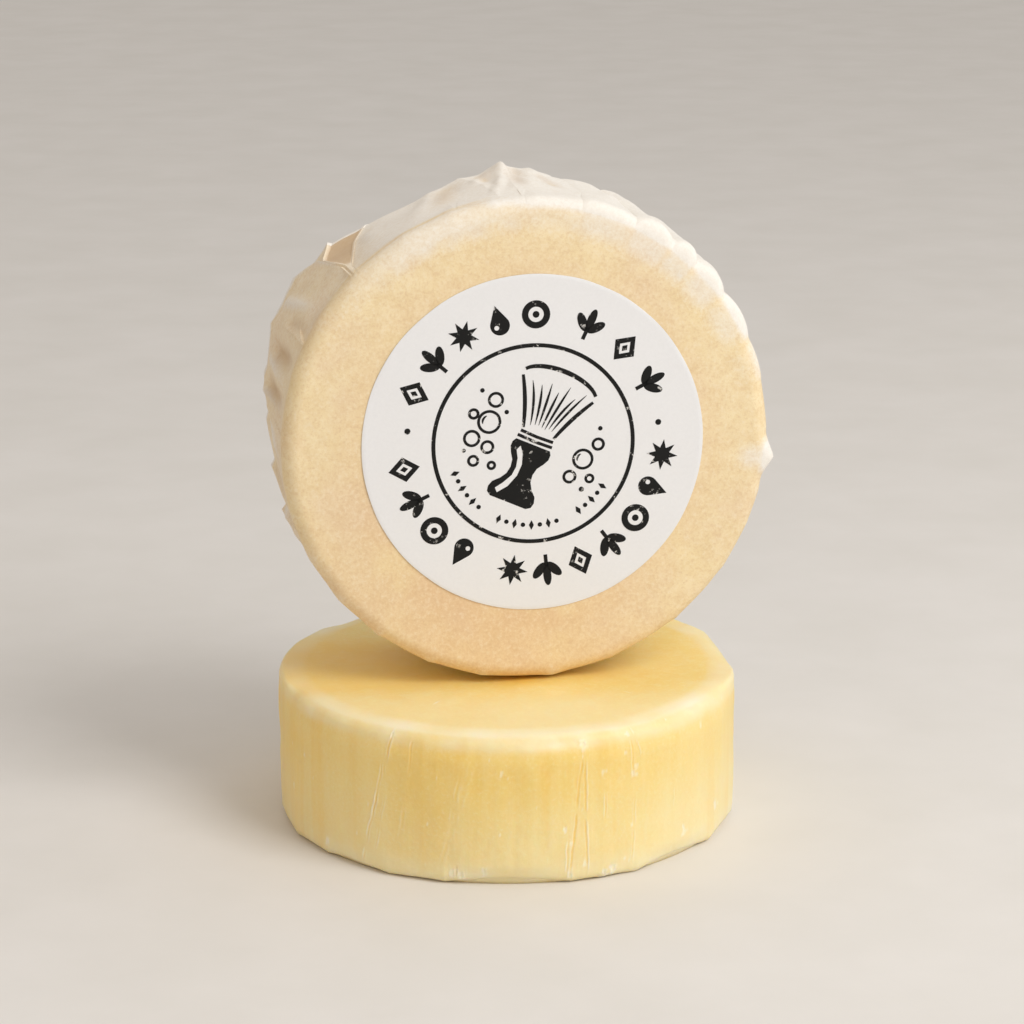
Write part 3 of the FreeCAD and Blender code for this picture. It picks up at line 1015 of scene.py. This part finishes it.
def face_frame(centre, depth, side):
    """A function from flat (x, y) points to the frame, on a face looking forwards (side 1) or back (-1)."""
    def to_frame(flat, height):
        flat = np.asarray(flat, dtype=float)
        right = centre @ RIGHT + side * flat[..., 0]
        return place(right, depth - side * height, centre @ UP + flat[..., 1])
    return to_frame


def round_sticker(name, to_frame, radius, thickness, seed):
    """A round paper sticker with a cut edge that curls up by a hair here and there."""
    columns = 240
    turn = np.linspace(0, 2 * math.pi, columns, endpoint=False)
    circle = np.stack([np.cos(turn), np.sin(turn)], axis=-1)
    edge = radius + 0.03 * ripple(circle * 10, 4.0, seed)
    rows = []
    for share in np.append(np.linspace(0.04, 0.94, 16), [0.975, 0.995]):
        flat = circle * (edge * share)[:, None]
        height = thickness + 0.012 * ripple(flat, 9.0, seed + 1) + 0.03 * smooth((share - 0.9) / 0.1)
        rows.append(to_frame(flat, height))
    flat = circle * edge[:, None]
    rows.append(to_frame(flat, thickness - 0.01))
    rows.append(to_frame(flat, 0.01))
    rows.append(to_frame(circle * (edge * 0.9)[:, None], 0.0))
    points = np.concatenate([np.array(rows).reshape(-1, 3), to_frame(np.zeros((1, 2)), thickness),
                             to_frame(np.zeros((1, 2)), 0.0)])
    faces = grid_faces(len(rows), columns, True)
    last = (len(rows) - 1) * columns
    top_centre = len(points) - 2
    for i in range(columns):
        j = (i + 1) % columns
        faces.append([j, i, top_centre])
        faces.append([last + i, last + j, top_centre + 1])
    return make_piece(name, points, [face[::-1] for face in faces], label_paper, sharp=40)


def print_piece(name, shapes, to_frame, height):
    """Raised print: each shape is a list of closed loops, the first its outline and the rest its holes."""
    points = []
    faces = []
    for loops in shapes:
        curve = bpy.data.curves.new(name, "CURVE")
        curve.dimensions = "2D"
        curve.fill_mode = "BOTH"
        curve.extrude = INK_HEIGHT / 2
        for loop in loops:
            spline = curve.splines.new("POLY")
            spline.points.add(len(loop) - 1)
            for point, (x, y) in zip(spline.points, loop):
                point.co = (x, y, 0, 1)
            spline.use_cyclic_u = True
        drawn = bpy.data.objects.new(name, curve)
        mesh = bpy.data.meshes.new_from_object(drawn)
        start = len(points)
        points += [tuple(vertex.co) for vertex in mesh.vertices]
        faces += [[start + i for i in polygon.vertices] for polygon in mesh.polygons]
        bpy.data.objects.remove(drawn)
        bpy.data.curves.remove(curve)
        bpy.data.meshes.remove(mesh)
    points = np.array(points)
    placed = to_frame(points[:, :2], height + points[:, 2] + INK_HEIGHT / 2)
    return make_piece(name, placed, faces, ink, sharp=30)


def circle_loop(x, y, radius, corners=48):
    turn = np.linspace(0, 2 * math.pi, corners, endpoint=False)
    return list(zip(x + radius * np.cos(turn), y + radius * np.sin(turn)))


def ring_shape(x, y, radius, width, corners=48):
    return [circle_loop(x, y, radius + width / 2, corners), circle_loop(x, y, radius - width / 2, corners)]


def moved(loops, x, y, degrees):
    """Loops turned by an angle and then moved to (x, y)."""
    c = math.cos(math.radians(degrees))
    s = math.sin(math.radians(degrees))
    return [[(x + c * px - s * py, y + s * px + c * py) for px, py in loop] for loop in loops]


def scaled(loops, size):
    return [[(size * x, size * y) for x, y in loop] for loop in loops]


def on_circle(loops, radius, azimuth):
    """Loops placed on a circle, their own up pointing outwards."""
    turn = math.radians(azimuth)
    return moved(loops, radius * math.cos(turn), radius * math.sin(turn), azimuth - 90)


def stroke(points, width, taper=0.0):
    """A ribbon along points, as one loop: width in the middle, narrowing towards both ends by taper."""
    points = np.asarray(points, dtype=float)
    along = np.gradient(points, axis=0)
    along /= np.linalg.norm(along, axis=1)[:, None]
    across = np.stack([-along[:, 1], along[:, 0]], axis=-1)
    place_along = np.linspace(-1, 1, len(points))
    half = (width / 2 * (1 - taper * place_along ** 2))[:, None]
    left = points + across * half
    right = points - across * half
    return [[tuple(p) for p in left] + [tuple(p) for p in right[::-1]]]


def curve_through(start, bend, end, count=14):
    """Points of a simple curve from start to end, pulled towards bend."""
    t = np.linspace(0, 1, count)[:, None]
    start, bend, end = (np.asarray(p, dtype=float) for p in (start, bend, end))
    return (1 - t) ** 2 * start + 2 * t * (1 - t) * bend + t ** 2 * end


def diamond(width, height):
    return [(0, height / 2), (width / 2, 0), (0, -height / 2), (-width / 2, 0)]


def diamond_mark():
    """A hollow diamond with a solid heart."""
    return [[diamond(3.4, 4.2), diamond(1.7, 2.2)], [diamond(0.8, 1.1)]]


def star_mark():
    """An eight-pointed star."""
    loop = []
    for i in range(16):
        radius = (2.1, 1.0)[i % 2]
        turn = math.radians(90 + 22.5 * i)
        loop.append((radius * math.cos(turn), radius * math.sin(turn)))
    return [[loop]]


def leaf(length, width):
    t = np.linspace(0, math.pi, 12)
    right = [(width / 2 * math.sin(a), -length / 2 * math.cos(a)) for a in t]
    return right + [(-x, y) for x, y in right[-2:0:-1]]


def leaf_mark():
    """Three leaves on a short stem."""
    left = moved([leaf(2.6, 1.2)], -1.0, 0.0, 42)
    right = moved([leaf(2.6, 1.2)], 1.0, 0.0, -42)
    middle = moved([leaf(2.8, 1.1)], 0, 0.8, 0)
    stem = stroke([(0, -2.1), (0, -1.5), (0, -0.4)], 0.5)
    return [left, right, middle, stem]


def wheel_mark():
    """A thick ring with a dot in it."""
    return [ring_shape(0, 0, 1.45, 0.85, 32), [circle_loop(0, 0, 0.45, 20)]]


def drop_mark():
    """A water drop with a gleam in it."""
    round_end = [(1.3 * math.cos(a), 1.3 * math.sin(a) - 0.75) for a in np.radians(np.linspace(152, 388, 24))]
    return [[[(0.0, 2.0)] + round_end, circle_loop(-0.5, -0.95, 0.32, 16)]]


MARKS = (diamond_mark, leaf_mark, star_mark, drop_mark, wheel_mark, leaf_mark)

# Runs of marks round the label: azimuth of the first, step and how many.
MARK_RUNS = ((155, -16.5, 5), (65, -19.0, 3), (353, -15.4, 7), (236, -15.6, 4))
MARK_RADIUS = 19.5


def border_shapes():
    """The marks round the label's edge, with a dot between the upper and lower runs on each side."""
    shapes = []
    number = 0
    for first, step, count in MARK_RUNS:
        for i in range(count):
            mark = MARKS[number % len(MARKS)]()
            shapes += [on_circle(scaled(loops, 1.12), MARK_RADIUS, first + step * i) for loops in mark]
            number += 1
    shapes += [on_circle([circle_loop(0, 0, 0.45, 20)], 18.9, azimuth) for azimuth in (8, 172)]
    return shapes


def brush_shapes():
    """A shaving brush standing in lather, drawn with its foot at the bottom."""
    handle = [(0.0, -9.4), (2.6, -9.4), (3.2, -9.0), (3.35, -8.3), (3.1, -7.5), (2.3, -6.7), (1.75, -5.8),
              (1.6, -4.8), (1.8, -3.8), (2.35, -3.0), (2.75, -2.2), (2.75, -1.5), (2.45, -1.0), (0.0, -1.0)]
    outline = handle + [(-x, y) for x, y in handle[-2:0:-1]]
    gleam = [(-1.9, -8.7), (-2.4, -8.2), (-1.7, -7.2), (-1.0, -5.8), (-0.9, -4.6), (-1.2, -3.4), (-1.8, -2.4),
             (-1.5, -1.7), (-0.8, -2.6), (-0.3, -4.0), (-0.3, -5.6), (-0.9, -7.4)]
    shapes = [[outline, gleam]]
    shapes.append(stroke([(-2.5, -0.45), (0, -0.55), (2.5, -0.45)], 0.42))
    shapes.append(stroke([(-2.35, 0.25), (0, 0.15), (2.35, 0.25)], 0.42))
    for side in (-1, 1):
        edge = curve_through((2.2 * side, 0.7), (3.2 * side, 4.0), (5.1 * side, 7.2))
        shapes.append(stroke(edge, 0.55, 0.3))
    top = [(x, 7.3 + 2.3 * math.sqrt(max(0.0, 1 - (x / 5.4) ** 2))) for x in np.linspace(-5.1, 5.1, 25)]
    shapes.append(stroke(top, 0.65, 0.3))
    for lean in (-0.72, -0.44, -0.20, 0.06, 0.30, 0.54, 0.78):
        low = 1.2 + 0.5 * abs(math.sin(9 * lean))
        high = 8.0 - 1.3 * abs(math.sin(7 * lean + 1))
        hair = curve_through((2.0 * lean, low), (3.0 * lean, 4.6), (5.0 * lean, high))
        shapes.append(stroke(hair, 0.34, 0.85))
    return [moved(scaled(loops, 1.12), 0.4, 0.9, -24) for loops in shapes]


def lather_shapes():
    """Bubbles on both sides of the brush."""
    rings = ((-6.6, 3.6, 1.6), (-9.2, 1.2, 1.1), (-5.6, 6.9, 1.0), (-8.9, 4.9, 0.65), (-6.9, -0.2, 0.85),
             (-9.0, -2.2, 0.7), (-6.3, -3.0, 0.5), (7.4, -2.6, 1.4), (9.7, -0.4, 0.8), (5.4, -5.2, 0.85),
             (8.4, -5.6, 0.55))
    dots = ((-4.0, 5.0, 0.34), (-10.4, -0.6, 0.3), (7.2, -7.2, 0.4), (10.0, 2.0, 0.34), (-7.6, 8.4, 0.34))
    shapes = [ring_shape(x, y, radius, 0.42, 32) for x, y, radius in rings]
    shapes += [[circle_loop(x, y, radius, 20)] for x, y, radius in dots]
    arc = [(0.62 * math.cos(a), 0.62 * math.sin(a)) for a in np.linspace(1.9, 3.4, 9)]
    for x, y, radius in (rings[0], rings[7]):
        gleam = [(x + radius * arc_x, y + radius * arc_y) for arc_x, arc_y in arc]
        shapes.append(stroke(gleam, 0.34, 0.8))
    return shapes


def small_arc_shapes():
    """Three runs of small dashes and dots inside the ring, along the bottom."""
    shapes = []
    for first, count in ((199, 6), (245, 8), (303, 5)):
        for i in range(count):
            azimuth = first + 5.9 * i
            if i % 2:
                shapes.append(on_circle([circle_loop(0, 0, 0.34, 16)], 12.4, azimuth))
            else:
                shapes.append(on_circle([diamond(0.75, 1.5)], 12.4, azimuth))
    return shapes


on_label = face_frame(label_centre, -0.01, 1)
label_thickness = -0.01 - LABEL_FRONT
label = round_sticker("front_label_paper", on_label, LABEL_RADIUS, label_thickness, 401)
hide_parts("front_label")
label_prints = (
    ("label_ring_print", [ring_shape(0, 0, 14.9, 0.6, 180)]),
    ("label_border_print", border_shapes()),
    ("label_brush_print", brush_shapes()),
    ("label_lather_print", lather_shapes()),
    ("label_small_print", small_arc_shapes()),
)
printed = [print_piece(name, shapes, on_label, label_thickness + 0.012) for name, shapes in label_prints]
for piece in [label, *printed]:
    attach(piece, "wrapped_puck")

on_seal = face_frame(seal_centre, SEAL_DEPTH, -1)
seal = round_sticker("back_seal_paper", on_seal, SEAL_RADIUS, 0.10, 431)
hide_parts("back_seal")
seal_shapes = [ring_shape(0, 0, SEAL_RADIUS - 2.0, 0.45, 180), ring_shape(0, 0, SEAL_RADIUS - 6.6, 0.3, 160)]
seal_shapes += [on_circle([diamond(1.1, 2.6)], SEAL_RADIUS - 4.3, 18 * step) for step in range(20)]
seal_shapes += star_mark()
seal_print = print_piece("back_seal_print", seal_shapes, on_seal, 0.112)
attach(seal_print, "seal")

# The seal's peel hinge is read from the frame, and the seal paper is baked where it lies.
seal_hinge = np.array(joints["seal_peel"]["pos_m"]) / MM
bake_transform(seal)

# ---------------------------------------------------------------- floor, light and camera

FLOOR_HALF = 6000.0
floor_points = [[-FLOOR_HALF, -FLOOR_HALF, -0.02], [FLOOR_HALF, -FLOOR_HALF, -0.02]]
floor_points += [[FLOOR_HALF, FLOOR_HALF, -0.02], [-FLOOR_HALF, FLOOR_HALF, -0.02]]
floor = make_piece("floor", floor_points, [[0, 1, 2, 3]], floor_material())


def area_light(name, place_m, target_m, size_m, power, colour):
    """A square soft light pointed at a target."""
    data = bpy.data.lights.new(name, "AREA")
    data.size = size_m
    data.energy = power
    data.color = colour
    light = bpy.data.objects.new(name, data)
    light.location = place_m
    light.rotation_euler = (Vector(target_m) - Vector(place_m)).to_track_quat("-Z", "Y").to_euler()
    bpy.context.scene.collection.objects.link(light)
    return light


area_light("key", (0.46, -0.38, 0.60), (0, 0, 0.05), 0.40, 3.65, (1.0, 0.985, 0.965))


def soft_studio():
    """An even pale room, a little warmer and dimmer on the left and brighter overhead."""
    world = bpy.data.worlds.new("soft_studio")
    world.use_nodes = True
    nodes = world.node_tree.nodes
    links = world.node_tree.links
    direction = nodes.new("ShaderNodeTexCoord")
    parts = nodes.new("ShaderNodeSeparateXYZ")
    across = nodes.new("ShaderNodeMapRange")
    across.inputs["From Min"].default_value = -0.8
    across.inputs["From Max"].default_value = 0.3
    ramp = nodes.new("ShaderNodeValToRGB")
    ramp.color_ramp.elements[0].color = (0.94, 0.80, 0.66, 1.0)
    ramp.color_ramp.elements[1].color = (1.0, 0.995, 0.99, 1.0)
    links.new(direction.outputs["Generated"], parts.inputs[0])
    links.new(parts.outputs["X"], across.inputs["Value"])
    links.new(across.outputs["Result"], ramp.inputs["Fac"])
    links.new(ramp.outputs["Color"], nodes["Background"].inputs["Color"])
    overhead = nodes.new("ShaderNodeMapRange")
    overhead.inputs["From Min"].default_value = 0.1
    overhead.inputs["From Max"].default_value = 0.9
    overhead.inputs["To Min"].default_value = 0.54
    overhead.inputs["To Max"].default_value = 0.64
    links.new(parts.outputs["Z"], overhead.inputs["Value"])
    links.new(overhead.outputs["Result"], nodes["Background"].inputs["Strength"])
    return world


bpy.context.scene.world = soft_studio()

# The camera looks a little down at the pucks, straight at the wrapper's face, from about half a metre.
CAMERA_TARGET = Vector((0.78, 0.0, 46.8)) * MM
CAMERA_ELEVATION = math.radians(15.5)
CAMERA_DISTANCE = 0.480

camera_data = bpy.data.cameras.new("camera")
camera_data.lens = 111.2
camera_data.sensor_width = 36.0
camera_data.clip_start = 0.01
camera = bpy.data.objects.new("camera", camera_data)
towards_camera = Vector((0.0, -math.cos(CAMERA_ELEVATION), math.sin(CAMERA_ELEVATION)))
camera.location = CAMERA_TARGET + CAMERA_DISTANCE * towards_camera
camera.rotation_euler = (-towards_camera).to_track_quat("-Z", "Y").to_euler()
bpy.context.scene.collection.objects.link(camera)
bpy.context.scene.camera = camera
bpy.context.scene.view_settings.view_transform = "Standard"
